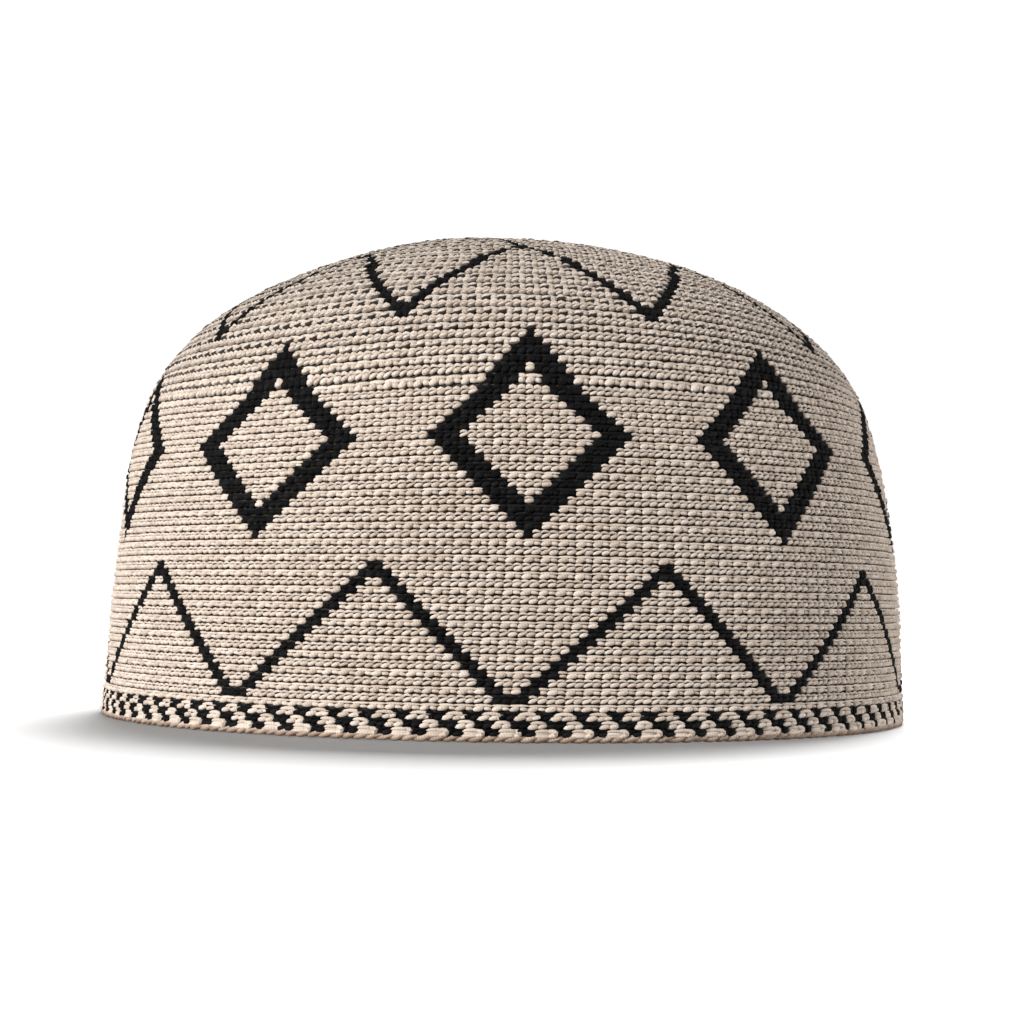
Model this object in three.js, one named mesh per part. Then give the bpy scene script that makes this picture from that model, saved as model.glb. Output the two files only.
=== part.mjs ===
// A knitted dome cap standing on its rim: a hollow two-yarn knit shell, a check band along the
// lower edge and a crocheted edging cord under it. Millimetres, +Z up, the front towards -Y,
// the origin in the middle of the rim at the level of the surface that the cap stands on.
import * as THREE from "three";

// Size of the cap.
const HALF_WIDTH = 90; // centre to the left or right side, at the rim
const HALF_DEPTH = 92; // centre to the front or back, at the rim
const CAP_HEIGHT = 107.5; // from the surface to the top of the crown

// Walls and rim.
const KNIT_WALL = 2.4; // thickness of the stranded knit
const BAND_WALL = 2.6; // thickness of the check band
const BAND_HEIGHT = 3.9;
const BAND_COURSES = 3; // rows of large stitches in the band, each a low rib
const BAND_RIB = 0.35; // how far each rib of the band stands out
const EDGING_HEIGHT = 1.3;
const EDGING_WALL = 2.9; // thickness of the edging cord, from outside to inside
const EDGING_BULGE = 0.4; // how far the cord's round sides stand out
const SEAM_GAP = 0.3; // clearance between two pieces that meet

// Fineness of the surfaces.
const AROUND = 72; // facets once around the cap
const OUTER_RINGS = 22; // rings of facets up the outside
const INNER_RINGS = 13; // rings of facets up the inside

// The outline, from the rim to the top of the crown. height is a share of CAP_HEIGHT, half a
// share of HALF_WIDTH and HALF_DEPTH, and across the sideways shift of that level as a share of
// HALF_WIDTH: the crown's centre sits left of the middle and the left shoulder is hollowed.
const SECTIONS = [
  { height: 0.0, half: 1.0, across: 0.0 },
  { height: 0.12, half: 0.99, across: 0.003 },
  { height: 0.25, half: 0.982, across: 0.003 },
  { height: 0.37, half: 0.967, across: 0.001 },
  { height: 0.48, half: 0.947, across: -0.001 },
  { height: 0.58, half: 0.918, across: -0.001 },
  { height: 0.66, half: 0.884, across: -0.001 },
  { height: 0.735, half: 0.826, across: -0.001 },
  { height: 0.804, half: 0.741, across: -0.003 },
  { height: 0.869, half: 0.62, across: 0.001 },
  { height: 0.918, half: 0.49, across: 0.0 },
  { height: 0.953, half: 0.36, across: -0.016 },
  { height: 0.976, half: 0.23, across: -0.055 },
  { height: 0.993, half: 0.11, across: -0.101 },
  { height: 1.0, half: 0.0, across: -0.119 },
];

// Soft dents in the wall, and a fuller place at the front shoulder where depth is negative.
// azimuth is in degrees from the right side, counterclockwise seen from above, so the front is
// 270; wide is the angle to its edge, height and tall are shares of CAP_HEIGHT, and depth is a
// share of the wall's half width.
const DENTS = [
  { azimuth: 303, wide: 30, height: 0.5, tall: 0.34, depth: 0.014 },
  { azimuth: 246, wide: 26, height: 0.56, tall: 0.26, depth: 0.009 },
  { azimuth: 196, wide: 24, height: 0.36, tall: 0.22, depth: 0.008 },
  { azimuth: 280, wide: 62, height: 0.78, tall: 0.2, depth: -0.034 },
];

const BEIGE = 0xb9a795;
const BLACK = 0x17171a;
const TAN = 0x9c8672;

const profile = new THREE.CatmullRomCurve3(
  SECTIONS.map((s) => new THREE.Vector3(s.half, s.across, s.height)),
  false,
  "centripetal",
);

// A smooth hump: 1 at the middle, 0 at and beyond the edge.
function hump(distance, edge) {
  const share = Math.min(Math.abs(distance) / edge, 1);
  return (1 - share * share) ** 2;
}

// The share of the half width that the dents take off the wall at an angle and height.
function dentShare(angle, height) {
  const degrees = THREE.MathUtils.radToDeg(angle);
  return DENTS.reduce((sum, dent) => {
    const turn = THREE.MathUtils.euclideanModulo(degrees - dent.azimuth + 180, 360) - 180;
    return sum + dent.depth * hump(turn, dent.wide) * hump(height - dent.height, dent.tall);
  }, 0);
}

// A point of the outside: along runs from 0 at the rim to 1 at the top of the crown.
function outside(along, angle) {
  const section = profile.getPointAt(along);
  const half = section.x * (1 - dentShare(angle, section.z));
  return new THREE.Vector3(
    HALF_WIDTH * (half * Math.cos(angle) + section.y),
    HALF_DEPTH * half * Math.sin(angle),
    CAP_HEIGHT * section.z,
  );
}

// The outward direction of the wall at that point.
function outward(along, angle) {
  const step = 1e-3;
  const low = Math.max(along - step, 0);
  const high = Math.min(along + step, 1 - step);
  const up = outside(high, angle).sub(outside(low, angle));
  const round = outside(along, angle + step).sub(outside(along, angle - step));
  return round.cross(up).normalize();
}

// The share along the profile at which the wall reaches a height in millimetres.
function alongAt(height) {
  let low = 0;
  let high = 1;
  while (high - low > 1e-7) {
    const middle = (low + high) / 2;
    if (profile.getPointAt(middle).z * CAP_HEIGHT < height) low = middle;
    else high = middle;
  }
  return (low + high) / 2;
}

// One ring of points around the cap, pushed in from the outside by depth. With a height given
// the ring lies flat at that height.
function ring(along, depth, height = null) {
  return Array.from({ length: AROUND }, (_, i) => {
    const angle = (2 * Math.PI * i) / AROUND;
    const point = outside(along, angle).addScaledVector(outward(along, angle), -depth);
    if (height !== null) point.z = height;
    return point;
  });
}

// The single point in which the rings end at the top of the crown.
function pole(depth) {
  const top = outside(1, 0);
  return [new THREE.Vector3(top.x, top.y, top.z - depth)];
}

// A closed body through a loop of rings, the last joined to the first. Two poles next to each
// other are the two sides of the crown's top and get no facet between them.
function bodyThrough(rings) {
  const starts = [];
  const positions = [];
  for (const points of rings) {
    starts.push(positions.length / 3);
    for (const p of points) positions.push(p.x, p.y, p.z);
  }
  const faces = [];
  rings.forEach((from, k) => {
    const next = (k + 1) % rings.length;
    const to = rings[next];
    const a = (i) => starts[k] + (from.length === 1 ? 0 : i % AROUND);
    const b = (i) => starts[next] + (to.length === 1 ? 0 : i % AROUND);
    for (let i = 0; i < AROUND; i++) {
      if (from.length > 1) faces.push(a(i), a(i + 1), b(i + 1));
      if (to.length > 1) faces.push(a(i), b(i + 1), b(i));
    }
  });
  const geometry = new THREE.BufferGeometry();
  geometry.setAttribute("position", new THREE.Float32BufferAttribute(positions, 3));
  geometry.setIndex(
    faces.filter((_, f, all) => {
      const first = f - (f % 3);
      return new Set(all.slice(first, first + 3)).size === 3;
    }),
  );
  geometry.computeVertexNormals();
  return geometry;
}

// Evenly spaced shares along the profile, from a start towards the crown.
function shares(start, count) {
  return Array.from({ length: count }, (_, i) => start + ((1 - start) * i) / count);
}

const bandBase = EDGING_HEIGHT + SEAM_GAP;
const knitBase = bandBase + BAND_HEIGHT + SEAM_GAP;

// The knitted dome: side and crown are one piece of knitting, hollow and open below.
function knitShell() {
  const start = alongAt(knitBase);
  const outer = shares(start, OUTER_RINGS).map((s, i) => ring(s, 0, i === 0 ? knitBase : null));
  const inner = shares(start, INNER_RINGS).map((s, i) =>
    ring(s, KNIT_WALL, i === 0 ? knitBase : null),
  );
  return bodyThrough([...outer, pole(0), pole(KNIT_WALL), ...inner.reverse()]);
}

// The check band: a ring with one low rib for each course of large stitches.
function checkBand() {
  const course = BAND_HEIGHT / BAND_COURSES;
  const outer = [];
  for (let i = 0; i <= 2 * BAND_COURSES; i++) {
    const height = bandBase + (course * i) / 2;
    outer.push(ring(alongAt(height), i % 2 ? -BAND_RIB : 0, height));
  }
  const top = bandBase + BAND_HEIGHT;
  const inner = [top, bandBase].map((height) => ring(alongAt(height), BAND_WALL, height));
  return bodyThrough([...outer, ...inner]);
}

// The edging: a crocheted cord with round sides, flat where it meets the surface and the band.
function edgingCord() {
  const heights = [0, EDGING_HEIGHT / 2, EDGING_HEIGHT];
  const outer = heights.map((height, i) =>
    ring(alongAt(height), i === 1 ? -EDGING_BULGE : 0, height),
  );
  const inner = heights.map((height, i) =>
    ring(alongAt(height), EDGING_WALL + (i === 1 ? EDGING_BULGE : 0), height),
  );
  return bodyThrough([...outer, ...inner.reverse()]);
}

function piece(name, geometry, color, roughness) {
  const material = new THREE.MeshStandardMaterial({ color, roughness, metalness: 0 });
  const mesh = new THREE.Mesh(geometry, material);
  mesh.name = name;
  return mesh;
}

const cap = new THREE.Group();
cap.add(piece("knit_shell", knitShell(), BEIGE, 0.85));
cap.add(piece("check_band", checkBand(), BLACK, 0.8));
cap.add(piece("edging", edgingCord(), TAN, 0.85));

export default cap;
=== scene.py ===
import math

import bpy
import numpy as np
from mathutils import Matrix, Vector


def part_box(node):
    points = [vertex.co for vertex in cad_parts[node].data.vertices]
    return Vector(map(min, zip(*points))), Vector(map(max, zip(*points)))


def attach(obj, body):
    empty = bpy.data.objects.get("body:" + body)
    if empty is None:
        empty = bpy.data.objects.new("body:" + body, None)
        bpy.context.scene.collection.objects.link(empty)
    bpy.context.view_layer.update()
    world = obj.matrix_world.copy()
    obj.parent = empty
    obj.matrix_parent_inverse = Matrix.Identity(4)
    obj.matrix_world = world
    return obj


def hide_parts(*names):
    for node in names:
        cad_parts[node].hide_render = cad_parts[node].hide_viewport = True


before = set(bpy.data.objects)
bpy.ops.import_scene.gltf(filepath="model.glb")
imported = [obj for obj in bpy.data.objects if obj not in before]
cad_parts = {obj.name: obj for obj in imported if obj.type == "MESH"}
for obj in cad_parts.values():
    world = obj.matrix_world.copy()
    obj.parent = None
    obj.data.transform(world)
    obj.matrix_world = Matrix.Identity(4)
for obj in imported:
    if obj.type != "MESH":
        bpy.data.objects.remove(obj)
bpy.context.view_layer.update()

# The looks of a knitted dome cap. Every stitch is made of yarn strands laid on the cap's own
# surface, row by row from the rim to the crown. Metres, +Z up, the front towards -Y.

SEED = 11
MM = 0.001

# Sizes from the frame, and the walls as in the model's source.
EDGING_BULGE = 0.4 * MM  # how far the edging's round side stands out from the rim's outline
EDGING_LOW, EDGING_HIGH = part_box("edging")
HALF_WIDTH = (EDGING_HIGH.x - EDGING_LOW.x) / 2 - EDGING_BULGE
HALF_DEPTH = (EDGING_HIGH.y - EDGING_LOW.y) / 2 - EDGING_BULGE
RIM_RADIUS = (HALF_WIDTH + HALF_DEPTH) / 2
CAP_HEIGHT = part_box("knit_shell")[1].z
KNIT_WALL = 2.4 * MM
BAND_WALL = 2.6 * MM

# The outline, as in the model's source: height is a share of CAP_HEIGHT, half of HALF_WIDTH and
# HALF_DEPTH, and across the sideways shift of that level as a share of HALF_WIDTH.
SECTIONS = np.array([
    # height, half, across
    (0.0, 1.0, 0.0),
    (0.12, 0.99, 0.003),
    (0.25, 0.982, 0.003),
    (0.37, 0.967, 0.001),
    (0.48, 0.947, -0.001),
    (0.58, 0.918, -0.001),
    (0.66, 0.884, -0.001),
    (0.735, 0.826, -0.001),
    (0.804, 0.741, -0.003),
    (0.869, 0.62, 0.001),
    (0.918, 0.49, 0.0),
    (0.953, 0.36, -0.016),
    (0.976, 0.23, -0.055),
    (0.993, 0.11, -0.101),
    (1.0, 0.0, -0.119),
])
SECTION_STEPS = 40  # points on the outline's curve from one section to the next

# Soft dents, and a fuller place where depth is negative: azimuth and its spread in degrees,
# height and its spread as shares of CAP_HEIGHT, depth as a share of the wall's half width.
DENTS = np.array([
    # azimuth, wide, height, tall, depth
    (303, 30, 0.5, 0.34, 0.014),
    (246, 26, 0.56, 0.26, 0.009),
    (196, 24, 0.36, 0.22, 0.008),
    (280, 62, 0.78, 0.2, -0.034),
])

# The knitting. Lengths run up the wall from the rim.
STITCHES_ROUND = 340  # stitches in one row of the side
REPEATS = 10  # copies of the pattern around the cap
ROW_HEIGHT = 1.515 * MM  # on the lower wall
BAND_ROWS = 3
ROW_LEVELS = np.array([
    # row, length at which it starts, in mm: the rows stand taller on the shoulder and crown
    (0, 1.0),
    (24, 37.4),
    (36.5, 57.2),
    (48.5, 74.3),
    (51, 78.4),
    (67, 107.6),
    (95, 162.0),
])
LEAN = np.array([
    # row, how far the pattern has leaned to the right there, in degrees around the cap
    (0, 0.6),
    (4.5, 0.95),
    (21, 2.2),
    (36.5, 2.8),
    (48.5, 2.4),
    (51, 2.6),
    (67, 0.9),
    (70, -0.9),
    (73, -2.3),
    (77, -3.6),
    (82, -4.5),
])
NARROWING = ((105, 130), (1.14, 1.38))  # length, and the least width of a stitch there, in mm
CENTRE = (4.7 * MM, 25 * MM)  # the rows' own centre, right of and behind the crown's highest point
CENTRE_START = 66 * MM  # length from which the rows are drawn towards it
CROWN_GAP = 2.2  # length in mm from the last row's end to the crown's middle, at least
CROWN_MARGIN = 0.3 * MM  # no stitch comes nearer to the highest point
SAG = (228, 45, 66 * MM, 38 * MM, 1.6 * MM)  # azimuth, wide, level, tall, drop: the left shoulder
RELIEF = ((70, 95), (1.0, 0.85))  # length, and how far a strand of lift 1 stands out, in mm
BASE_DEPTH = ((70, 95), (0.78, 0.65))  # length, and the backing's depth under the outline, in mm

# The pattern. Rows are counted from the rim.
FRONT = 270.0  # azimuth of the front, in degrees
ZIGZAG_ROW = 4  # the lowest row of the lower zigzag
ZIGZAG_ROWS = 17
ZIGZAG_LINE = 1  # half the thickness of its line, in stitches
DIAMOND_ROW = 36  # the middle of the diamonds
DIAMOND_REACH = 12  # stitches and rows from a diamond's middle to its corner
DIAMOND_LINE = 4  # thickness of a diamond's outline, in stitches
CROWN_ROW = 51  # the lowest row of the crown's zigzag
CROWN_ROWS = 16
CROWN_LINE = 1.05  # half the thickness of its line, in stitches
CROWN_CURVE = 0.89  # below 1 its line runs more across near its lower tips
RAY_REPEAT = 3  # the rays end where a repeat has no more stitches than this
SPREAD = math.radians(1.55)  # how far the crown's pattern is drawn out towards the sides
CHECK_PERIOD = 4  # stitches from one check of the band to the next
CHECK_STEPS = (3.1, 2.3, 0.8)  # where each row's checks start, in stitches, from the lowest row up

# The beige stitches as pieces, from the band to the crown's end: name and first row.
KNIT_PIECES = (
    ("knit_lower", 3),
    ("knit_middle", 19),
    ("knit_upper", 36),
    ("knit_shoulder", 51),
    ("knit_crown", 67),
)

# Yarn strands of one pair of stitches, in shares of a stitch's width and a row's height from the
# pair's lower left corner: two ends and two handles of a curve, half thickness, how far the
# middle stands out, where the strand is fullest (above 1 is to the right), and how dark the
# painted shade on its lower side is.
PAIR_STRANDS = {
    # name: x0, y0, x1, y1, x2, y2, x3, y3, thick, lift, full, hollow
    "arc_left": (-0.14, 0.70, 0.12, 1.00, 0.50, 1.00, 1.12, 0.68, 0.175, 0.88, 0.85, 0.1),
    "arc_right": (0.86, 0.70, 1.12, 1.00, 1.50, 1.00, 2.12, 0.68, 0.175, 0.88, 0.85, 0.1),
    "under_left": (-0.14, 0.21, 0.20, 0.29, 0.60, 0.52, 1.12, 0.60, 0.255, 0.97, 1.0, 0.7),
    "under_right": (0.84, 0.25, 1.15, 0.32, 1.60, 0.49, 2.08, 0.54, 0.305, 1.0, 1.1, 0.5),
    "shade": (-0.15, 0.82, 0.60, 0.87, 1.40, 0.79, 2.15, 0.82, 0.195, 0.72, 1.0, 0.1),
    "blob": (-0.12, 0.27, 0.15, 0.36, 0.75, 0.55, 1.18, 0.53, 0.36, 1.12, 1.15, 1.0),
    "bump": (0.96, 0.42, 1.25, 0.50, 1.65, 0.44, 2.04, 0.36, 0.24, 0.84, 0.9, 0.3),
}
# Strands of a single stitch, for pairs of two colours: the upper one of a plain row, and the
# full round end that closes a row of one colour.
SINGLE_STRANDS = {
    "shade": (-0.15, 0.84, 0.20, 0.89, 0.70, 0.84, 1.15, 0.83, 0.195, 0.70, 1.0, 0.1),
    "end": (-0.25, 0.34, 0.10, 0.46, 0.60, 0.56, 1.12, 0.50, 0.35, 1.0, 1.25, 0.9),
}
# One of the strands that are gathered in the middle of the crown, and their number.
GATHER_STRAND = (0.5, -0.7, 0.42, 0.3, 0.58, 1.2, 0.5, 2.2, 0.13, 0.95, 0.7, 0.2)
GATHERS = 20
# Strands of one beige check of the band, each with its kind of STATIONS, from the lowest row up.
CHECK_STRANDS = (
    (
        ("long", (-0.10, 0.74, 0.50, 0.92, 1.30, 0.94, 2.00, 0.72, 0.27, 0.95, 1.0, 0.3)),
        ("long", (-0.20, 0.20, 0.50, 0.24, 1.30, 0.12, 2.00, 0.30, 0.27, 1.0, 1.0, 0.3)),
        ("long", (-0.10, 0.42, 0.50, 0.54, 1.30, 0.46, 2.10, 0.50, 0.24, 0.80, 1.0, 0.3)),
        ("loop", (1.10, 0.78, 2.66, 1.12, 2.66, -0.10, 1.10, 0.26, 0.36, 1.2, 1.0, 0.3)),
    ),
    (
        ("short", (-0.20, 0.20, 0.25, 0.26, 0.70, 0.40, 1.12, 0.46, 0.36, 1.1, 0.9, 0.5)),
        ("long", (0.10, 0.72, 0.70, 0.94, 1.40, 0.90, 2.05, 0.64, 0.25, 0.9, 1.0, 0.3)),
        ("short", (0.82, 0.20, 1.20, 0.28, 1.65, 0.42, 2.12, 0.48, 0.34, 1.05, 1.1, 0.5)),
    ),
    (
        ("short", (-0.42, 0.14, 0.10, 0.26, 0.60, 0.40, 1.12, 0.48, 0.37, 1.15, 0.9, 0.5)),
        ("long", (0.10, 0.72, 0.90, 0.96, 1.90, 0.92, 2.76, 0.64, 0.25, 0.9, 1.0, 0.3)),
        ("short", (0.86, 0.20, 1.30, 0.26, 1.75, 0.40, 2.18, 0.48, 0.33, 1.0, 1.1, 0.5)),
        ("short", (1.60, 0.26, 2.00, 0.30, 2.40, 0.44, 2.80, 0.48, 0.28, 0.95, 1.1, 0.5)),
    ),
)
# Where a strand has its ends and its rings of vertices, as shares of its curve.
STATIONS = {
    "short": np.array([0.0, 0.2, 0.5, 0.8, 1.0]),
    "long": np.array([0.0, 0.14, 0.38, 0.64, 0.88, 1.0]),
    "loop": np.array([0.0, 0.12, 0.28, 0.43, 0.57, 0.72, 0.88, 1.0]),
}
SECTION_ANGLES = np.radians([-112.0, -40.0, 40.0, 112.0])  # around a strand, from its top

# The yarn.
YARN_OF_WALL = 0.6  # share of a strand's thickness that stays as on the lower wall
YARN_OF_ROW = 0.4  # and the share that follows its own row's height
END_BLUNTNESS = 0.38  # below 1 the ends of a strand are blunt
END_RISE = 0.5  # how far a strand's ends stand out, as a share of its middle
ARCH = 0.6  # below 1 a strand rises quickly from its ends
BLACK_FULLNESS = 1.3  # black strands are this much thicker and close their gaps
# Spreads of the small differences from strand to strand.
SLIP_ALONG = 0.042  # of a curve's points along the row, in stitches
SLIP_UP = 0.03  # and up the wall, in rows
THICKNESS_SPREAD = 0.07
RISE_SPREAD = 0.08
# Painted shade on the lower side of a strand, where it would lie in shade, by length up the wall
# in mm: how strongly it is darkened, and the angle round the strand at which it ends.
PAINTED_SHADE = ((50, 60, 74), (0.25, 0.4, 1.0))
PAINTED_SHADE_EDGE = ((50, 60, 74), (-75, -60, -22))
PAINTED_SHADE_RISE = 50  # degrees by which the painted shade reaches further up at the ends of its strand

# The edging: a cord of two plies twisted round each other.
CORD_TURNS = 118  # turns of each ply around the rim
CORD_HEIGHT = 1.5 * MM
PLY_RADIUS = 0.3 * CORD_HEIGHT
CORD_FLATNESS = 0.9  # the plies swing out by less than they swing up
PLY_FULLNESS = (1.12, 0.18)  # a ply's mean fullness, and by how much it is fuller on the outside
TURN_STEPS = 10  # rings of vertices in one turn of a ply
PLY_SIDES = 6
LUMP_STEPS = 5  # rings from one lump of a ply to the next
LUMP_SPREAD = 0.14
DRIFT_SPREAD = 0.5  # radians by which the twist runs ahead or behind
CORD_TONE = 0.6  # spread of the tones along a ply
CORD_PAINTED_LIGHT_RISE = (3.0, 0.45)  # painted light and shade: how much lighter the cord is towards its top and darker below, and around which share
CORD_DEPTHS = (0.75 * MM, 2.15 * MM)  # the middles of the outer and the inner cord, from outside

# The backing.
KNIT_RINGS = 60  # rings of the outside, and as many of the inside
KNIT_COLUMNS = 120
BAND_COLUMNS = 160
BACKING_GAP = 0.6 * MM  # length from the last ring to the crown's highest point

# Maps for the baked looks.
MAP_EDGE = 0.01  # free edge of a map
CELL_RATIO = 3  # width to height of a strand's own place in the map
CELL_EDGE = 0.08  # free edge of that place, as a share of it

# The yarn's surface: plies wound round each strand, and fine fibres.
PLIES_ALONG = 1.9  # plies in one mm of a strand
PLIES_AROUND = 2.2  # plies once around a strand
FIBRES_ALONG = 3.0  # how much the fibres change in one mm of a strand
FIBRES_AROUND = 16.0  # once around it
FIBRES_APART = 40.0  # and from strand to strand
TONE_SHARE = 0.22  # weight of a strand's own tone in its colour
PLY_SHADE_SHARE = 0.12  # and of its plies, as painted shade in their grooves and painted light on their crests
TONE_STOPS = (0.2, 0.5, 0.85)  # where the dark, the main and the light colour lie
PAINTED_SHADE_FADE = (-0.02, 0.09)  # turns below its edge between which the painted shade darkens
PAINTED_SHADE_DARKEST = 0.95  # share of the colour that the painted shade takes away at its darkest
PLY_BUMP = 0.5  # weight of the plies in the bumps
FIBRE_BUMP = 1.2  # and of the fibres
YARNS = {
    "beige_yarn": {
        "colour": (0.61, 0.518, 0.446),
        "dark": (0.46, 0.375, 0.302),
        "light": (0.72, 0.632, 0.556),
        "roughness": 0.85,
        "sheen": 0.08,
        "specular": 0.25,
    },
    "black_yarn": {
        "colour": (0.0028, 0.0027, 0.0032),
        "dark": (0.0006, 0.0006, 0.0007),
        "light": (0.013, 0.0125, 0.014),
        "roughness": 0.8,
        "sheen": 0.0,
        "specular": 0.12,
    },
    "tan_yarn": {
        "colour": (0.34, 0.245, 0.18),
        "dark": (0.15, 0.09, 0.06),
        "light": (0.58, 0.46, 0.38),
        "roughness": 0.85,
        "sheen": 0.08,
        "specular": 0.2,
    },
}
# Dark and light colours of the floats behind the stitches, and of the inside. Behind the beige
# knit the floats' dark brown also stands in as painted shade in the gaps.
FLOATS_AND_GAP_SHADE = ((0.026, 0.020, 0.016), (0.070, 0.055, 0.044))
BLACK_FLOATS = ((0.003, 0.003, 0.003), (0.010, 0.010, 0.012))
# The inside's dark colour is painted shade in the grooves of its purl bumps.
INSIDE_KNIT = ((0.10, 0.08, 0.07), (0.52, 0.44, 0.36))
INSIDE_ROWS = 150  # rows of purl bumps over the full height of the backing's map
INSIDE_WAVE = 0.9  # radians by which each of those rows waves up and down
INSIDE_RELIEF = 0.5  # how strong the rows are against the noise

# The camera, fitted to the picture.
IMAGE_SIZE = 1024  # pixels, the picture's side
SENSOR = 36  # mm
CAMERA_DISTANCE = 4.88 * HALF_WIDTH  # from the cap's middle
CAMERA_HEIGHT = 0.289 * HALF_WIDTH
FOCAL_PIXELS = 1914
EYE_LEVEL = 600  # the pixel row at the camera's own height
MIDDLE_COLUMN = 503.7  # the pixel column of the rim's middle
CAMERA_ROLL = math.radians(-0.78)

# Floor, backdrop and lights.
FLOOR_RADIUS = 2.4
BACKDROP_BEND = 0.6  # radius of the curve from the floor up to the backdrop
BACKDROP_HEIGHT = 3.5
BEND_STEPS = 13
STAGE_SIDES = 48
STAGE_MAP = 8  # metres that the stage's map spans
PAINT_REACH = (0.3, 1.2)  # distances from the cap's middle between which the glow rises
PAINT_GLOW = (0.19, 1.0)  # the glow at those distances
PAINT_COLOUR = (0.3, 0.3, 0.3, 1)
LIGHT_TARGET = (0, 0, 0.05)
CAP_LIGHTS = (
    # name, place, size, power, colour
    ("key", (-0.93, -0.87, 0.44), 0.42, 25, (1.0, 0.985, 0.965)),
    ("side", (1.1, -0.15, 0.24), 0.4, 8.7, (1.0, 0.99, 0.98)),
    ("back", (0.30, 1.25, 0.22), 0.5, 9, (1.0, 0.99, 0.98)),
)
FLOOR_LAMP = ("floor_lamp", (0.18, 0.90, 1.20), 0.8, 125, (1.0, 1.0, 1.0))
WORLD_COLOUR = (1.0, 0.985, 0.96, 1)
WORLD_STRENGTH = 0.26

rng = np.random.default_rng(SEED)


# The cap's outline.


def catmull_rom(points, steps):
    """Points along a centripetal curve through the given ones."""
    extended = np.vstack([2 * points[0] - points[1], points, 2 * points[-1] - points[-2]])
    u = (np.arange(steps) / steps)[:, None]
    out = []
    for p0, p1, p2, p3 in zip(extended, extended[1:], extended[2:], extended[3:]):
        d0, d1, d2 = (np.linalg.norm(b - a) ** 0.5 for a, b in ((p0, p1), (p1, p2), (p2, p3)))
        t1 = ((p1 - p0) / d0 - (p2 - p0) / (d0 + d1) + (p2 - p1) / d1) * d1
        t2 = ((p2 - p1) / d1 - (p3 - p1) / (d1 + d2) + (p3 - p2) / d2) * d1
        out.append((2 * u**3 - 3 * u**2 + 1) * p1 + (u**3 - 2 * u**2 + u) * t1
                   + (-2 * u**3 + 3 * u**2) * p2 + (u**3 - u**2) * t2)
    return np.vstack(out + [points[-1:]])


PROFILE = catmull_rom(SECTIONS, SECTION_STEPS)
PROFILE_STEPS = np.diff(PROFILE[:, :2], axis=0) * (CAP_HEIGHT, RIM_RADIUS)
LENGTHS = np.concatenate([[0.0], np.cumsum(np.hypot(*PROFILE_STEPS.T))])  # up the wall, from the rim
CROWN_LENGTH = LENGTHS[-1]


def length_at(height):
    """Length up the wall at which it reaches a height."""
    return float(np.interp(height, PROFILE[:, 0] * CAP_HEIGHT, LENGTHS))


def mean_radius(length):
    """The wall's radius at a length, between its half width and its half depth."""
    return np.interp(length, LENGTHS, PROFILE[:, 1]) * RIM_RADIUS


def by_length(length, values):
    """A size in mm that changes from the wall to the crown."""
    return np.interp(length / MM, *values) * MM


def patch(angle, azimuth, wide, level, middle, tall):
    """A smooth hump on the wall: 1 at its middle, 0 at and beyond its edge."""
    turn = (np.degrees(angle) - azimuth + 180) % 360 - 180
    across = np.minimum(np.abs(turn) / wide, 1)
    up = np.minimum(np.abs(level - middle) / tall, 1)
    return (1 - across**2) ** 2 * (1 - up**2) ** 2


def dent_share(angle, height):
    """Share of the half width that the dents take off the wall."""
    total = np.zeros(np.broadcast(angle, height).shape)
    for azimuth, wide, middle, tall, depth in DENTS:
        total += depth * patch(angle, azimuth, wide, height, middle, tall)
    return total


def outside(length, angle):
    """Points of the cap's outline, by length up the wall and angle around it."""
    height, half, across = (np.interp(length, LENGTHS, column) for column in PROFILE.T)
    half = half * (1 - dent_share(angle, height))
    return np.stack([
        HALF_WIDTH * (half * np.cos(angle) + across),
        HALF_DEPTH * half * np.sin(angle),
        CAP_HEIGHT * height + 0 * angle,
    ], -1)


def place(length, angle, out):
    """Points that stand out from the outline by a distance, measured square to the wall."""
    step = 0.2 * MM
    turn = 1e-3
    inner = np.clip(length, step, CROWN_LENGTH - 3 * step)
    up = outside(inner + step, angle) - outside(inner - step, angle)
    around = outside(inner, angle + turn) - outside(inner, angle - turn)
    normal = np.cross(around, up)
    normal /= np.linalg.norm(normal, axis=-1, keepdims=True)
    return outside(length, angle) + normal * np.asarray(out)[..., None]


# Rows and stitches.


def row_length(row):
    """Length up the wall at which a row starts."""
    return np.interp(row, *ROW_LEVELS.T) * MM


LAST_ROW = int(np.interp(CROWN_LENGTH / MM - CROWN_GAP, ROW_LEVELS[:, 1], ROW_LEVELS[:, 0]))


def lean(row):
    """Azimuth of the pattern's front middle in a row, in radians."""
    return np.radians(FRONT + np.interp(row, *LEAN.T))


def sag(length, angle):
    """How far the rows hang down where the cap's shoulder is slack."""
    azimuth, wide, middle, tall, drop = SAG
    return drop * patch(angle, azimuth, wide, length, middle, tall)


def spread(row, angle):
    """How far the crown's pattern is drawn out towards the sides."""
    share = np.clip((row - CROWN_ROW) / CROWN_ROWS, 0, 1)
    return SPREAD * np.sin(2 * (angle - math.radians(FRONT))) * share * (2 - share)


def on_outline(length, angle):
    """Length and angle on the cap's outline for a place in the knitting, whose rows are drawn
    towards their own centre above the shoulder."""
    share = np.clip((length - CENTRE_START) / (CROWN_LENGTH - CENTRE_START), 0, 1)
    half = np.interp(length, LENGTHS, PROFILE[:, 1])
    x = half * np.cos(angle) + CENTRE[0] / HALF_WIDTH * share
    y = half * np.sin(angle) + CENTRE[1] / HALF_DEPTH * share
    return np.interp(-np.hypot(x, y), -PROFILE[:, 1], LENGTHS), np.arctan2(y, x)


def stitches_in(row):
    """Stitches in a row: the same whole number in each repeat, fewer towards the crown."""
    length = row_length(row + 0.5)
    width = np.interp(length / MM, *NARROWING) * MM
    fitting = round(2 * math.pi * float(mean_radius(length)) / REPEATS / float(width))
    return REPEATS * min(STITCHES_ROUND // REPEATS, max(fitting, 1))


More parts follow.
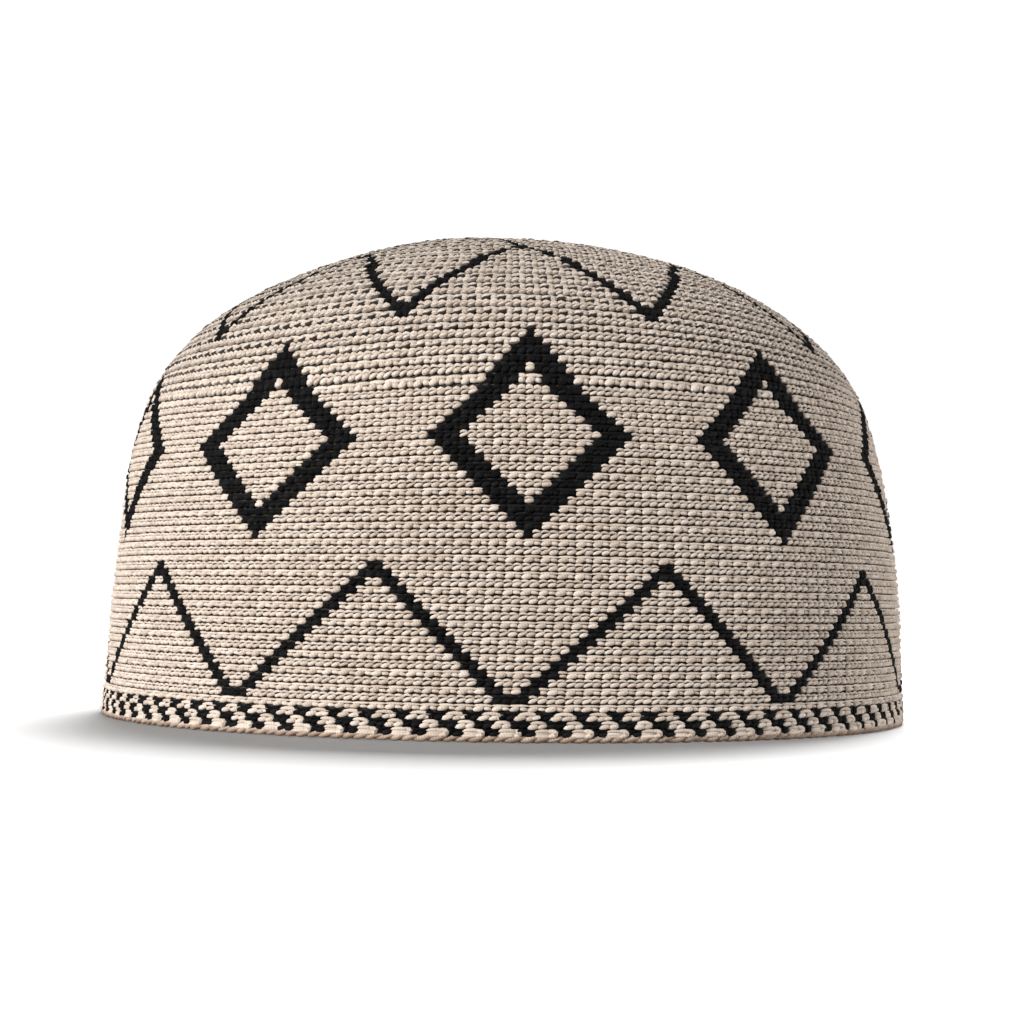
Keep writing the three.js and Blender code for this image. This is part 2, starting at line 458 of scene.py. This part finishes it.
def is_black(row, stitch, repeat):
    """Whether a stitch is black. stitch counts from the middle of its repeat."""
    side = np.abs(stitch + 0.5)
    step = row - ZIGZAG_ROW
    if 0 <= step < ZIGZAG_ROWS:
        return np.abs(side - 1 - step) < ZIGZAG_LINE
    rise = np.abs(row - DIAMOND_ROW)
    if rise <= DIAMOND_REACH:
        reach = np.abs(stitch) + rise
        return (reach <= DIAMOND_REACH) & (reach > DIAMOND_REACH - DIAMOND_LINE)
    step = row - CROWN_ROW
    if 0 <= step <= CROWN_ROWS:
        tip = stitches_in(CROWN_ROW + CROWN_ROWS) / REPEATS / 2
        line = tip * (step / CROWN_ROWS) ** CROWN_CURVE
        return np.abs(repeat / 2 - side - line) < CROWN_LINE
    if step > CROWN_ROWS and repeat > RAY_REPEAT:
        return stitch == -1
    return np.zeros(np.shape(stitch), bool)


def row_table(first, last):
    """One line for each pair of stitches: row, start angle, angle of a stitch, and whether its
    left and right stitches are black."""
    lines = []
    for row in range(first, last):
        count = stitches_in(row)
        repeat = count // REPEATS
        stitch = np.arange(count)
        middle = (stitch + repeat // 2) % repeat - repeat // 2
        black = is_black(row, middle, repeat)
        turn = 2 * math.pi / count
        left = stitch[::2]
        lines.append(np.stack([
            np.full(len(left), row),
            lean(row) + left * turn,
            np.full(len(left), turn),
            black[::2],
            black[1::2],
        ], -1))
    return np.vstack(lines)


def even_table(row, starts, turn):
    """One line for each start angle: row, start angle and the angle of a stitch."""
    return np.stack([np.full(len(starts), row), starts, np.full(len(starts), turn)], -1)


def check_table(row, black):
    """One line for each check of one colour in a row of the band, two stitches wide."""
    turn = 2 * math.pi / STITCHES_ROUND
    check = np.arange(STITCHES_ROUND // CHECK_PERIOD)
    start = CHECK_STEPS[row] + check * CHECK_PERIOD + (CHECK_PERIOD / 2 if black else 0)
    return even_table(row, lean(row) + start * turn, turn)


def gather_table():
    """One line for each strand gathered in the middle of the crown."""
    return even_table(LAST_ROW, np.arange(GATHERS) * 2 * math.pi / GATHERS, 2 * math.pi / GATHERS)


# Strands.


def strand_template(stations):
    """Triangles of one strand, and the station and section angle of each of its vertices. It
    starts in a point, has a ring at each inner station and ends in a point."""
    rings, sides = len(stations) - 2, len(SECTION_ANGLES)
    last = 1 + rings * sides

    def vertex(ring, side):
        return 1 + ring * sides + side

    triangles = []
    for side in range(sides - 1):
        triangles.append((0, vertex(0, side + 1), vertex(0, side)))
        for ring in range(rings - 1):
            a, b = vertex(ring, side), vertex(ring + 1, side)
            triangles += [(a, b + 1, b), (a, a + 1, b + 1)]
        triangles.append((vertex(rings - 1, side), vertex(rings - 1, side + 1), last))
    t = np.concatenate([[0.0], np.repeat(stations[1:-1], sides), [1.0]])
    phi = np.concatenate([[0.0], np.tile(SECTION_ANGLES, rings), [0.0]])
    return np.array(triangles), t, phi


def strand_points(shape, t, phi, width, height, relief, fullness):
    """Vertices of many strands of one kind in their own flat frame: right, up, out, and the way
    along the strand. Each strand gets small differences of its own."""
    def differ(size):
        return rng.normal(0, size, (len(width), 1))

    *ends, thick, lift, full, _ = shape
    xs = [(x + differ(SLIP_ALONG)) * width for x in ends[0::2]]
    ys = [(y + differ(SLIP_UP)) * height for y in ends[1::2]]
    weights = ((1 - t) ** 3, 3 * t * (1 - t) ** 2, 3 * t**2 * (1 - t), t**3)
    slopes = (-((1 - t) ** 2), (1 - t) * (1 - 3 * t), t * (2 - 3 * t), t**2)
    x = sum(w * p for w, p in zip(weights, xs))
    y = sum(w * p for w, p in zip(weights, ys))
    dx = sum(w * p for w, p in zip(slopes, xs))
    dy = sum(w * p for w, p in zip(slopes, ys))
    run = np.hypot(dx, dy)
    yarn = YARN_OF_WALL * ROW_HEIGHT + YARN_OF_ROW * height
    thickness = thick * fullness * yarn * (1 + differ(THICKNESS_SPREAD))
    radius = thickness * np.sin(np.pi * t**full) ** END_BLUNTNESS
    arch = END_RISE + (1 - END_RISE) * np.sin(np.pi * t) ** ARCH
    rise = lift * relief * (1 + differ(RISE_SPREAD)) * arch
    side = radius * np.sin(phi)
    out = rise - radius * (1 - np.cos(phi))
    along = np.hypot(x - xs[0], y - ys[0])
    return x - dy / run * side, y + dx / run * side, out, along


def hollow_values(shape, low, t):
    """For each vertex, how dark the painted shade under its strand is and the angle of its edge, in
    turns."""
    strength = shape[-1] * np.interp(low / MM, *PAINTED_SHADE) + 0 * t
    edge = np.interp(low / MM, *PAINTED_SHADE_EDGE) + PAINTED_SHADE_RISE * (1 - np.sin(np.pi * t))
    return np.stack([strength, edge / 360, 0 * edge], -1).reshape(-1, 3)


class Strands:
    """Collects strands of one piece and makes one mesh of them."""

    def __init__(self, fullness=1.0):
        self.fullness = fullness
        self.points, self.triangles, self.yarn, self.hollow, self.groups = [], [], [], [], []
        self.count = 0
        self.strand_count = 0

    def add(self, shape, lines, shift=0, stations="short"):
        """Lays one strand of a kind on each line of a row table, shift stitches to the right."""
        count = len(lines)
        if not count:
            return
        row, start, turn = (lines[:, i : i + 1] for i in range(3))
        low = row_length(row)
        height = row_length(row + 1) - low
        width = turn * mean_radius(low + height / 2)
        triangles, t, phi = strand_template(STATIONS[stations])
        x, y, out, along = strand_points(
            shape, t, phi, width, height, by_length(low, RELIEF), self.fullness)
        angle = start + shift * turn + x / width * turn
        angle = angle + spread(row, angle)
        length = low + y
        length = np.clip(length - sag(length, angle), 0, CROWN_LENGTH - CROWN_MARGIN)
        length, angle = on_outline(length, angle)
        self.points.append(place(length, angle, out - by_length(low, BASE_DEPTH)).reshape(-1, 3))
        offsets = self.count + np.arange(count) * len(t)
        self.triangles.append((triangles[None] + offsets[:, None, None]).reshape(-1, 3))
        tone = np.repeat(rng.uniform(-1, 1, count), len(t))
        around = np.tile(phi / (2 * math.pi), count)
        self.yarn.append(np.stack([along.ravel() / MM, around, tone], -1))
        # Painted shade on each strand's lower side.
        self.hollow.append(hollow_values(shape, low, t))
        self.groups.append((count, t, phi))
        self.count += count * len(t)
        self.strand_count += count

    def bake_map(self):
        """A place of its own in the unit square for each strand."""
        columns = math.ceil(math.sqrt(self.strand_count / CELL_RATIO))
        lines = math.ceil(self.strand_count / columns)
        inner = 1 - 2 * CELL_EDGE
        placed, done = [], 0
        for count, t, phi in self.groups:
            number = done + np.arange(count)[:, None]
            share = (phi - SECTION_ANGLES[0]) / (SECTION_ANGLES[-1] - SECTION_ANGLES[0])
            u = (number % columns + CELL_EDGE + inner * t) / columns
            v = (number // columns + CELL_EDGE + inner * share) / lines
            placed.append(np.stack([u, v], -1).reshape(-1, 2))
            done += count
        return np.vstack(placed)

    def make(self, name, material):
        """One piece of all the strands collected so far."""
        return mesh_piece(name, np.vstack(self.points), np.vstack(self.triangles),
                          self.bake_map(), [material], yarn=np.vstack(self.yarn),
                          hollow=np.vstack(self.hollow))


def mesh_piece(name, points, triangles, uv, materials, yarn=None, hollow=None, slots=None):
    """A smooth mesh object from arrays, with a map place for each vertex."""
    mesh = bpy.data.meshes.new(name)
    mesh.vertices.add(len(points))
    mesh.vertices.foreach_set("co", points.astype(np.float32).ravel())
    mesh.loops.add(3 * len(triangles))
    mesh.loops.foreach_set("vertex_index", triangles.astype(np.int32).ravel())
    mesh.polygons.add(len(triangles))
    mesh.polygons.foreach_set("loop_start", np.arange(len(triangles), dtype=np.int32) * 3)
    mesh.polygons.foreach_set("use_smooth", np.ones(len(triangles), bool))
    for material in materials:
        mesh.materials.append(material)
    if slots is not None:
        mesh.polygons.foreach_set("material_index", slots.astype(np.int32))
    layer = mesh.uv_layers.new(name="OFBake")
    layer.data.foreach_set("uv", uv[triangles.ravel()].astype(np.float32).ravel())
    # The second attribute carries the painted shade on the lower side of each strand.
    for key, values in (("yarn", yarn), ("hollow", hollow)):
        if values is not None:
            attribute = mesh.attributes.new(key, "FLOAT_VECTOR", "POINT")
            attribute.data.foreach_set("vector", values.astype(np.float32).ravel())
    mesh.update(calc_edges=True)
    mesh.validate()
    piece = bpy.data.objects.new(name, mesh)
    bpy.context.scene.collection.objects.link(piece)
    return piece


def knit(name, first, last, black, material):
    """The stitches of one colour in some rows of the knit, as one piece. Even rows look like a
    braid, odd rows have full stitches with smaller ones between them."""
    table = row_table(first, last)
    left, right = table[:, 3] == black, table[:, 4] == black
    braid = table[:, 0] % 2 == 0
    whole = left & right
    strands = Strands(BLACK_FULLNESS if black else 1.0)
    strands.add(PAIR_STRANDS["arc_left"], table[braid & left])
    strands.add(PAIR_STRANDS["arc_right"], table[braid & right])
    strands.add(PAIR_STRANDS["under_left"], table[braid & whole])
    strands.add(PAIR_STRANDS["under_right"], table[braid & right])
    strands.add(PAIR_STRANDS["shade"], table[~braid & whole], stations="long")
    strands.add(SINGLE_STRANDS["shade"], table[~braid & left & ~right])
    strands.add(SINGLE_STRANDS["shade"], table[~braid & ~left & right], shift=1)
    strands.add(PAIR_STRANDS["blob"], table[~braid & whole])
    strands.add(PAIR_STRANDS["bump"], table[~braid & right])
    strands.add(SINGLE_STRANDS["end"], table[left & ~right])
    if last == LAST_ROW and not black:
        strands.add(GATHER_STRAND, gather_table(), stations="long")
    return strands.make(name, material)


def band_stitches(name, black, material):
    """The large stitches of one colour in the check band."""
    strands = Strands(BLACK_FULLNESS if black else 1.0)
    for row in range(BAND_ROWS):
        table = check_table(row, black)
        if black:
            for strand in ("arc_left", "arc_right", "under_left", "under_right"):
                strands.add(PAIR_STRANDS[strand], table)
        else:
            for stations, shape in CHECK_STRANDS[row]:
                strands.add(shape, table, stations=stations)
    return strands.make(name, material)


# The backing behind the stitches and the plain inside.


def ring_body(name, rings, columns, materials, slots):
    """A body through rings of (length, depth), from the outside round to the inside, with a
    material slot for the faces from each ring to the next."""
    angle = np.arange(columns + 1) * 2 * math.pi / columns
    lengths = np.array([ring[0] for ring in rings])[:, None] + 0 * angle
    depths = np.array([ring[1] for ring in rings])[:, None] + 0 * angle
    points = place(lengths, 0 * lengths + angle, -depths)
    spans = [np.linspace(MAP_EDGE, 1 - MAP_EDGE, count) for count in (columns + 1, len(rings))]
    u, v = np.meshgrid(*spans)
    index = np.arange(lengths.size).reshape(len(rings), columns + 1)
    triangles = []
    for lower, upper in zip(index, index[1:]):
        a, b, c, d = lower[:-1], lower[1:], upper[1:], upper[:-1]
        triangles += [np.stack([a, b, c], -1), np.stack([a, c, d], -1)]
    return mesh_piece(name, points.reshape(-1, 3), np.vstack(triangles),
                      np.stack([u.ravel(), v.ravel()], -1), materials,
                      slots=np.repeat(slots, 2 * columns))


def knit_backing(materials):
    """The knit's body behind its stitches, and its inside face."""
    start = float(row_length(BAND_ROWS))
    lengths = np.linspace(start, CROWN_LENGTH - BACKING_GAP, KNIT_RINGS)
    outer = [(length, by_length(length, BASE_DEPTH)) for length in lengths]
    inner = [(length, KNIT_WALL) for length in lengths[::-1]]
    slots = [0] * len(outer) + [1] * len(inner)
    return ring_body("knit_backing", outer + inner + outer[:1], KNIT_COLUMNS, materials, slots)


def band_backing(materials):
    """The band's body behind its stitches, and its inside face."""
    low, high = float(row_length(0)), float(row_length(BAND_ROWS))
    depth = by_length(low, BASE_DEPTH)
    rings = [(low, depth), (high, depth), (high, BAND_WALL), (low, BAND_WALL)]
    return ring_body("band_backing", rings + rings[:1], BAND_COLUMNS, materials, [0, 1, 1, 1])


# The edging.


def edging_cord(name, depth, twist, material):
    """A lumpy cord of two plies twisted round each other along the rim."""
    steps = CORD_TURNS * TURN_STEPS
    step = np.arange(steps)
    lumps = steps // LUMP_STEPS

    def between_lumps(values):
        return np.interp(step, np.arange(lumps + 1) * LUMP_STEPS, values)[:, None]

    angle = step[:, None] * 2 * math.pi / steps
    section = np.arange(PLY_SIDES)[None] * 2 * math.pi / PLY_SIDES
    swing = CORD_HEIGHT / 2 - PLY_RADIUS
    sizes = 1 + rng.normal(0, LUMP_SPREAD, (2, lumps))
    drift = rng.normal(0, DRIFT_SPREAD, lumps)
    slip = between_lumps(np.append(drift, drift[0]))
    points, triangles, yarn, uv = [], [], [], []
    for number, size in enumerate(sizes):
        phase = twist * CORD_TURNS * angle + slip + number * math.pi
        fullness = PLY_FULLNESS[0] + PLY_FULLNESS[1] * np.cos(phase)
        radius = PLY_RADIUS * between_lumps(np.append(size, size[0])) * fullness
        out = swing * np.cos(phase) * CORD_FLATNESS + radius * np.cos(section) - depth
        up = CORD_HEIGHT / 2 + swing * np.sin(phase) + radius * np.sin(section)
        ring = place(length_at(CORD_HEIGHT / 2) + 0 * out, angle + 0 * out, out)
        ring[..., 2] = np.maximum(up, 0)
        points.append(ring.reshape(-1, 3))
        a = np.arange(steps * PLY_SIDES).reshape(steps, PLY_SIDES) + number * steps * PLY_SIDES
        b = np.roll(a, -1, 0)
        c, d = np.roll(b, -1, 1), np.roll(a, -1, 1)
        triangles += [np.stack(corners, -1).reshape(-1, 3) for corners in ((a, b, c), (a, c, d))]
        tone = CORD_TONE * between_lumps(rng.uniform(-1, 1, lumps + 1))
        # Painted light on the cord's top and painted shade below it, added to its tone.
        tone = tone + CORD_PAINTED_LIGHT_RISE[0] * (up / CORD_HEIGHT - CORD_PAINTED_LIGHT_RISE[1])
        along, around = angle * HALF_WIDTH / MM, section / (2 * math.pi)
        yarn.append(np.stack([along + 0 * out, around + 0 * out, tone], -1).reshape(-1, 3))
        u = MAP_EDGE + (1 - 2 * MAP_EDGE) * step[:, None] / steps + 0 * out
        v = MAP_EDGE + (number + (1 - 4 * MAP_EDGE) * np.arange(PLY_SIDES)[None] / PLY_SIDES) / 2
        uv.append(np.stack([u, v + 0 * out], -1).reshape(-1, 2))
    return mesh_piece(name, np.vstack(points), np.vstack(triangles), np.vstack(uv), [material],
                      yarn=np.vstack(yarn))


# Materials.


class Nodes:
    """Short names for making a new material's nodes."""

    def __init__(self, name):
        self.material = bpy.data.materials.new(name)
        self.material.use_nodes = True
        self.tree = self.material.node_tree
        self.shader = self.tree.nodes["Principled BSDF"]

    def plug(self, socket, value):
        """Gives a socket a number or colour, or links another socket to it."""
        if isinstance(value, bpy.types.NodeSocket):
            self.tree.links.new(value, socket)
        else:
            socket.default_value = value

    def new(self, kind, settings=None, **inputs):
        """A node of a kind, with its settings and its named inputs."""
        node = self.tree.nodes.new(kind)
        for key, value in (settings or {}).items():
            setattr(node, key, value)
        for key, value in inputs.items():
            self.plug(node.inputs[key], value)
        return node

    def math(self, operation, *values):
        """The result of a sum, product or other operation on numbers or sockets."""
        node = self.new("ShaderNodeMath", {"operation": operation})
        for socket, value in zip(node.inputs, values):
            self.plug(socket, value)
        return node.outputs[0]

    def attribute(self, name):
        """The three parts of a mesh attribute."""
        node = self.new("ShaderNodeAttribute", {"attribute_name": name})
        return self.new("ShaderNodeSeparateXYZ", Vector=node.outputs["Vector"]).outputs

    def map_range(self, value, given, wanted, **settings):
        """A value carried over from one range to another."""
        node = self.new("ShaderNodeMapRange", settings, Value=value)
        for key, (low, high) in (("From", given), ("To", wanted)):
            node.inputs[key + " Min"].default_value = low
            node.inputs[key + " Max"].default_value = high
        return node.outputs["Result"]

    def ramp(self, share, first, last, middle=()):
        """A colour for a share, from stops of (position, colour)."""
        node = self.new("ShaderNodeValToRGB", Fac=share)
        elements = node.color_ramp.elements
        for element, (position, colour) in ((elements[0], first), (elements[1], last)):
            element.position = position
            element.color = (*colour, 1)
        for position, colour in middle:
            elements.new(position).color = (*colour, 1)
        return node.outputs["Color"]

    def finish(self, colour, roughness, bump=None):
        """Gives the shader its colour, roughness and bumps, and returns the material."""
        self.plug(self.shader.inputs["Base Color"], colour)
        self.shader.inputs["Roughness"].default_value = roughness
        if bump:
            self.plug(self.shader.inputs["Normal"], bump.outputs["Normal"])
        return self.material


def yarn_material(name, colour, dark, light, roughness, sheen, specular):
    """Twisted yarn: plies wound round each strand with painted shade in their grooves, fine fibres,
    strands of slightly different tones, and painted shade on the lower side of each strand. On the
    edging cord the tone also carries painted light on its top."""
    n = Nodes(name)
    along, around, tone = n.attribute("yarn")
    twist = n.math("ADD", n.math("MULTIPLY", along, PLIES_ALONG),
                   n.math("MULTIPLY", around, PLIES_AROUND))
    ply = n.math("SINE", n.math("MULTIPLY", twist, 2 * math.pi))
    spot = n.new("ShaderNodeCombineXYZ", X=n.math("MULTIPLY", along, FIBRES_ALONG),
                 Y=n.math("MULTIPLY", around, FIBRES_AROUND),
                 Z=n.math("MULTIPLY", tone, FIBRES_APART))
    fibre = n.new("ShaderNodeTexNoise", Vector=spot.outputs[0], Scale=1.6, Detail=3.0, Roughness=0.6)
    grain = fibre.outputs["Fac"]
    # The plies' share is painted shade in their grooves and painted light on their crests, following
    # their bumps.
    mixed = n.math("ADD", n.math("MULTIPLY", tone, TONE_SHARE), n.math("MULTIPLY", ply, PLY_SHADE_SHARE))
    first, middle, last = zip(TONE_STOPS, (dark, colour, light))
    base = n.ramp(n.math("ADD", mixed, grain), first, last, [middle])
    # Painted shade: the lower side of each strand is darkened below the edge that its mesh gives.
    strength, edge, _ = n.attribute("hollow")
    inside = n.map_range(n.math("SUBTRACT", edge, around), PAINTED_SHADE_FADE, (0.0, PAINTED_SHADE_DARKEST),
                         interpolation_type="SMOOTHSTEP")
    left = n.math("SUBTRACT", 1.0, n.math("MULTIPLY", strength, inside))
    shaded = n.new("ShaderNodeVectorMath", {"operation": "SCALE"}, Vector=base, Scale=left)
    height = n.math("ADD", n.math("MULTIPLY", ply, PLY_BUMP), n.math("MULTIPLY", grain, FIBRE_BUMP))
    bump = n.new("ShaderNodeBump", Height=height, Strength=0.5, Distance=0.06 * MM)
    n.shader.inputs["Sheen Weight"].default_value = sheen
    n.shader.inputs["Sheen Roughness"].default_value = 0.5
    n.shader.inputs["Specular IOR Level"].default_value = specular
    return n.finish(shaded.outputs["Vector"], roughness, bump)


def floats_and_shade_material(name, dark, light):
    """Floats that lie behind the stitches and show in the gaps. The dark brown floats behind the
    beige knit also stand in as painted shade in those gaps.
    """
    n = Nodes(name)
    spot = n.new("ShaderNodeTexCoord").outputs["Object"]
    noise = n.new("ShaderNodeTexNoise", Vector=spot, Scale=900.0, Detail=2.0)
    return n.finish(n.ramp(noise.outputs["Fac"], (0.0, dark), (1.0, light)), roughness=0.95)


def inside_material(name, dark, light):
    """The knit's inside: rows of small purl bumps, from the wall's own map, coloured by the same
    height as their bumps: painted shade in the grooves and painted light on the tops, with noise as
    random tone.
    """
    n = Nodes(name)
    uv = n.new("ShaderNodeUVMap", {"uv_map": "OFBake"}).outputs["UV"]
    split = n.new("ShaderNodeSeparateXYZ", Vector=uv)
    rows = n.math("MULTIPLY", split.outputs[1], 2 * math.pi * INSIDE_ROWS)
    columns = n.math("MULTIPLY", split.outputs[0], 2 * math.pi * STITCHES_ROUND)
    waves = n.math("ADD", rows, n.math("MULTIPLY", n.math("SINE", columns), INSIDE_WAVE))
    noise = n.new("ShaderNodeTexNoise", Vector=uv, Scale=700.0, Detail=2.0)
    ridges = n.math("MULTIPLY", n.math("SINE", waves), INSIDE_RELIEF)
    both = n.math("ADD", ridges, noise.outputs["Fac"])
    bump = n.new("ShaderNodeBump", Height=both, Strength=0.9, Distance=0.5 * MM)
    # Painted shade: the colour darkens where the bumps are low.
    return n.finish(n.ramp(both, (0.0, dark), (1.0, light)), roughness=0.92, bump=bump)


def floor_material(name):
    """Pale floor paint with painted light: a glow that is weak near the cap, where the lamp's shadow
    falls, and rises to white towards the backdrop."""
    n = Nodes(name)
    spot = n.new("ShaderNodeTexCoord").outputs["Object"]
    distance = n.new("ShaderNodeVectorMath", {"operation": "LENGTH"}, Vector=spot)
    glow = n.map_range(distance.outputs["Value"], PAINT_REACH, PAINT_GLOW)
    n.plug(n.shader.inputs["Emission Strength"], glow)
    n.shader.inputs["Emission Color"].default_value = (1, 1, 1, 1)
    return n.finish(PAINT_COLOUR, roughness=0.9)


# Camera, floor and light.


def set_camera():
    """A camera that sees the cap as the picture does."""
    data = bpy.data.cameras.new("camera")
    camera = bpy.data.objects.new("camera", data)
    bpy.context.scene.collection.objects.link(camera)
    data.sensor_width = SENSOR
    data.lens = FOCAL_PIXELS / IMAGE_SIZE * SENSOR
    data.shift_x = 0.5 - MIDDLE_COLUMN / IMAGE_SIZE
    data.shift_y = EYE_LEVEL / IMAGE_SIZE - 0.5
    data.clip_start = 0.01
    camera.location = (0, -CAMERA_DISTANCE, CAMERA_HEIGHT)
    camera.rotation_euler = (math.radians(90), CAMERA_ROLL, 0)
    bpy.context.scene.camera = camera


def turned_surface(name, radii, heights, material):
    """A surface turned about the upright axis through points of (radius, height)."""
    turn = np.arange(STAGE_SIDES + 1) * 2 * math.pi / STAGE_SIDES
    points = np.stack([radii[:, None] * np.cos(turn), radii[:, None] * np.sin(turn),
                       heights[:, None] + 0 * turn], -1).reshape(-1, 3)
    index = np.arange(len(points)).reshape(len(radii), -1)
    a, b, c, d = index[:-1, :-1], index[1:, :-1], index[1:, 1:], index[:-1, 1:]
    triangles = [np.stack([a, b, c], -1).reshape(-1, 3)]
    if radii[0] > 0:
        triangles.append(np.stack([a, c, d], -1).reshape(-1, 3))
    return mesh_piece(name, points, np.vstack(triangles), points[:, :2] / STAGE_MAP + 0.5, [material])


def stage():
    """A pale round floor, and a backdrop that curves up all round it."""
    stage_material = floor_material("floor_paint_and_glow")
    bend = np.radians(np.linspace(0, 90, BEND_STEPS))
    reach = FLOOR_RADIUS + BACKDROP_BEND * np.append(np.sin(bend), 1)
    level = np.append(BACKDROP_BEND * (1 - np.cos(bend)), BACKDROP_HEIGHT)
    floor = turned_surface("floor", np.array([0, FLOOR_RADIUS]), np.zeros(2), stage_material)
    backdrop = turned_surface("backdrop", reach, level, stage_material)
    backdrop.visible_shadow = False
    pieces = [floor, backdrop]
    for piece in pieces:
        piece.visible_diffuse = False
        piece.visible_glossy = False
    return pieces


def area_light(name, spot, size, power, colour, receivers):
    """A square light that looks at the cap and lights what the collection says."""
    data = bpy.data.lights.new(name, "AREA")
    data.size = size
    data.energy = power
    data.color = colour
    light = bpy.data.objects.new(name, data)
    light.location = spot
    direction = Vector(LIGHT_TARGET) - Vector(spot)
    light.rotation_euler = direction.to_track_quat("-Z", "Y").to_euler()
    light.light_linking.receiver_collection = receivers
    bpy.context.scene.collection.objects.link(light)


def light_scene(stage_pieces):
    """Soft light from the front left, weaker from the other sides. The stage has its own lamp."""
    floor_only = bpy.data.collections.new("floor_only")
    cap_only = bpy.data.collections.new("cap_only")
    for piece in stage_pieces:
        floor_only.objects.link(piece)
        cap_only.objects.link(piece)
    for item in cap_only.collection_objects:
        item.light_linking.link_state = "EXCLUDE"
    for light in CAP_LIGHTS:
        area_light(*light, cap_only)
    area_light(*FLOOR_LAMP, floor_only)
    world = bpy.data.worlds.new("world")
    bpy.context.scene.world = world
    world.use_nodes = True
    background = world.node_tree.nodes["Background"]
    background.inputs["Color"].default_value = WORLD_COLOUR
    background.inputs["Strength"].default_value = WORLD_STRENGTH


def main():
    set_camera()
    light_scene(stage())
    beige, black, tan = (yarn_material(name, **values) for name, values in YARNS.items())
    # Floats behind the beige knit, dark brown as painted shade in the gaps.
    shadow = floats_and_shade_material("floats_and_gap_shade", *FLOATS_AND_GAP_SHADE)
    black_backing = floats_and_shade_material("black_floats", *BLACK_FLOATS)
    inside = inside_material("inside_knit", *INSIDE_KNIT)
    outer_depth, inner_depth = CORD_DEPTHS

    pieces = [
        (knit_backing([shadow, inside]), "knit_shell", "yarn_beige"),
        (knit("pattern", BAND_ROWS, LAST_ROW, True, black), "knit_shell", "yarn_black"),
        (band_backing([black_backing, inside]), "check_band", "yarn_black"),
        (band_stitches("band_beige", False, beige), "check_band", "yarn_beige"),
        (band_stitches("band_black", True, black), "check_band", "yarn_black"),
        (edging_cord("edging_outer", outer_depth, 1, tan), "edging", "yarn_tan"),
        (edging_cord("edging_inner", inner_depth, -1, tan), "edging", "yarn_tan"),
    ]
    ends = [first for _, first in KNIT_PIECES[1:]] + [LAST_ROW]
    for (name, first), end in zip(KNIT_PIECES, ends):
        pieces.append((knit(name, first, end, False, beige), "knit_shell", "yarn_beige"))
    for piece, node, slot in pieces:
        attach(piece, "root")
        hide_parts(node)
    bpy.context.scene.view_settings.view_transform = "Standard"


main()
